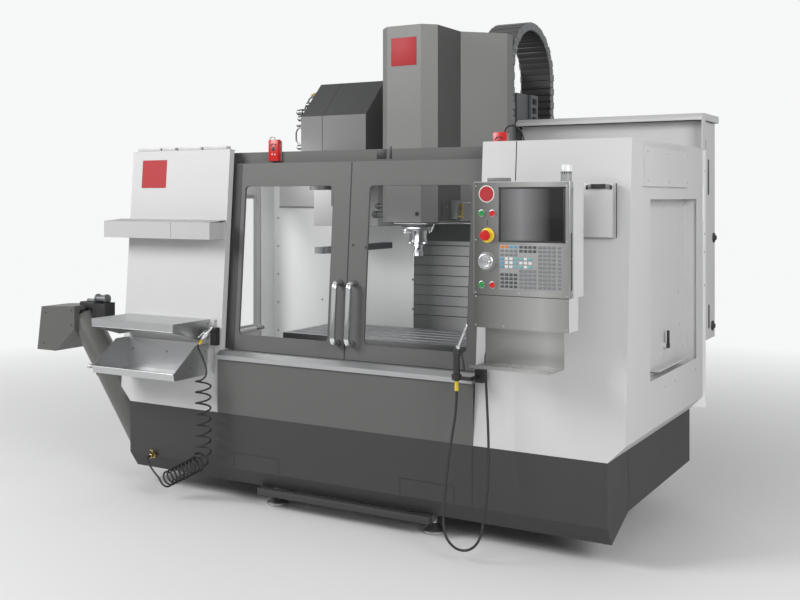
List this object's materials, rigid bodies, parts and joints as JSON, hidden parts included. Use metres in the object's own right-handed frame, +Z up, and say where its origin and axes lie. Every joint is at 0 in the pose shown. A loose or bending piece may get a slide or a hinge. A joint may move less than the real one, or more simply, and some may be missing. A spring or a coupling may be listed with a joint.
{
  "type": "cnc machining center",
  "caption": "Vertical machining center with sliding front doors, moving table, spindle head, side-mount tool changer, chip auger and operator pendant.",
  "frame": {"origin": "floor level, at the middle of the bounding box in plan", "axes": "+X to the operator's right, +Y from the doors to the back, +Z up"},
  "size_m": [3.044, 1.89, 2.234],
  "materials": {
    "white_paint": "satin",
    "dark_paint": "satin",
    "grey_paint": "satin",
    "cast_iron": "machined",
    "ground_steel": "ground",
    "stainless": "brushed",
    "chrome": "polished",
    "clear_glass": "clear",
    "black_plastic": "matte",
    "screen_glass": "gloss",
    "key_pad": "matte",
    "red_plastic": "gloss",
    "green_plastic": "gloss",
    "lamp_plastic": "frosted",
    "black_rubber": "matte",
    "aluminium": "satin"
  },
  "bodies": {
    "frame": {"air_gun": "aluminium", "air_hose": "black_rubber", "auger_chute": "grey_paint", "auger_gearmotor": "black_plastic", "auger_tube": "grey_paint", "base_cover": "dark_paint", "bed_casting": "cast_iron", "cable_chain": "black_plastic", "changer_cover": "grey_paint", "changer_gearbox": "grey_paint", "column": "cast_iron", "control_cabinet": "white_paint", "door_frame": "grey_paint", "front_panel_left": "white_paint", "front_panel_right": "white_paint", "holders": "black_plastic", "interlocks": "red_plastic", "leveling_feet": "ground_steel", "parts_tray": "stainless", "rear_wall": "white_paint", "side_hatch": "white_paint", "side_wall_left": "white_paint", "side_wall_right": "white_paint", "side_window": "clear_glass", "sill": "stainless", "tool_rack": "stainless", "wash_gun": "black_plastic", "wash_hose": "black_rubber", "way_cover": "stainless", "worktable": "stainless"},
    "door_left_body": {"door_left": "grey_paint", "glass_left": "clear_glass", "handle_left": "chrome"},
    "door_right_body": {"door_right": "grey_paint", "glass_right": "clear_glass", "handle_right": "chrome"},
    "saddle_body": {"saddle": "cast_iron"},
    "table_body": {"table": "ground_steel"},
    "head_body": {"head_casting": "cast_iron", "head_cover": "grey_paint", "coolant_ring": "aluminium"},
    "spindle_body": {"spindle": "ground_steel"},
    "carousel_body": {"carousel": "aluminium"},
    "arm_shaft_body": {"arm_shaft": "ground_steel"},
    "arm_body": {"changer_arm": "ground_steel"},
    "auger_body": {"auger_screw": "ground_steel"},
    "pendant_body": {"pendant_housing": "white_paint", "pendant_plates": "stainless", "screen": "screen_glass", "keypad": "key_pad", "beacon": "lamp_plastic"},
    "button_on_body": {"button_on": "green_plastic"},
    "button_off_body": {"button_off": "red_plastic"},
    "button_start_body": {"button_start": "green_plastic"},
    "button_hold_body": {"button_hold": "red_plastic"},
    "estop_body": {"estop": "red_plastic"},
    "jog_body": {"jog_wheel": "aluminium"},
    "latch_body": {"side_latch": "black_plastic"},
    "air_lever_body": {"air_lever": "chrome"},
    "trigger_body": {"wash_trigger": "black_plastic"}
  },
  "joints": [
    {"name": "door_left_slide", "type": "slide", "parent": "frame", "child": "door_left_body", "axis": [-1, 0, 0], "range_m": [0, 0.565]},
    {"name": "door_right_slide", "type": "slide", "parent": "frame", "child": "door_right_body", "axis": [1, 0, 0], "range_m": [0, 0.565]},
    {"name": "y_axis", "type": "slide", "parent": "frame", "child": "saddle_body", "axis": [0, 1, 0], "range_m": [-0.254, 0.254]},
    {"name": "x_axis", "type": "slide", "parent": "saddle_body", "child": "table_body", "axis": [1, 0, 0], "range_m": [-0.508, 0.508]},
    {"name": "z_axis", "type": "slide", "parent": "frame", "child": "head_body", "axis": [0, 0, 1], "range_m": [-0.332, 0.303], "deforming": ["way_cover", "cable_chain"]},
    {"name": "spindle_turn", "type": "hinge", "parent": "head_body", "child": "spindle_body", "pos_m": [0.298, -0.011, 1.135], "axis": [0, 0, 1], "continuous": true},
    {"name": "carousel_turn", "type": "hinge", "parent": "frame", "child": "carousel_body", "pos_m": [-0.302, 0.505, 1.56], "axis": [1, 0, 0], "continuous": true},
    {"name": "arm_drop", "type": "slide", "parent": "frame", "child": "arm_shaft_body", "axis": [0, 0, -1], "range_m": [0, 0.11]},
    {"name": "arm_turn", "type": "hinge", "parent": "arm_shaft_body", "child": "arm_body", "pos_m": [-0.047, -0.011, 1.1], "axis": [0, 0, 1], "range_deg": [0, 90]},
    {"name": "auger_turn", "type": "hinge", "parent": "frame", "child": "auger_body", "pos_m": [-0.822, -0.565, 0.11], "axis": [-0.5878, 0, 0.809], "continuous": true},
    {"name": "pendant_swivel", "type": "hinge", "parent": "frame", "child": "pendant_body", "pos_m": [1.343, -0.7, 1.35], "axis": [0, 0, 1], "range_deg": [0, 60]},
    {"name": "press_on", "type": "slide", "parent": "pendant_body", "child": "button_on_body", "axis": [0, 1, 0], "range_m": [0, 0.003], "stiffness_N_per_m": 300},
    {"name": "press_off", "type": "slide", "parent": "pendant_body", "child": "button_off_body", "axis": [0, 1, 0], "range_m": [0, 0.003], "stiffness_N_per_m": 300},
    {"name": "press_start", "type": "slide", "parent": "pendant_body", "child": "button_start_body", "axis": [0, 1, 0], "range_m": [0, 0.003], "stiffness_N_per_m": 300},
    {"name": "press_hold", "type": "slide", "parent": "pendant_body", "child": "button_hold_body", "axis": [0, 1, 0], "range_m": [0, 0.003], "stiffness_N_per_m": 300},
    {"name": "estop_press", "type": "slide", "parent": "pendant_body", "child": "estop_body", "axis": [0, 1, 0], "range_m": [0, 0.004]},
    {"name": "jog_turn", "type": "hinge", "parent": "pendant_body", "child": "jog_body", "pos_m": [1.051, -0.865, 1.113], "axis": [0, 1, 0], "continuous": true},
    {"name": "latch_turn", "type": "hinge", "parent": "frame", "child": "latch_body", "pos_m": [1.478, -0.013, 0.735], "axis": [1, 0, 0], "range_deg": [0, 90]},
    {"name": "air_lever_press", "type": "hinge", "parent": "frame", "child": "air_lever_body", "pos_m": [-0.34994, -0.755, 0.75902], "axis": [0, -1, 0], "range_deg": [0, 8], "stiffness_Nm_per_rad": 0.3},
    {"name": "wash_trigger_press", "type": "hinge", "parent": "frame", "child": "trigger_body", "pos_m": [0.898, -0.755, 0.756], "axis": [0, 1, 0], "range_deg": [0, 8], "stiffness_Nm_per_rad": 0.3}
  ]
}
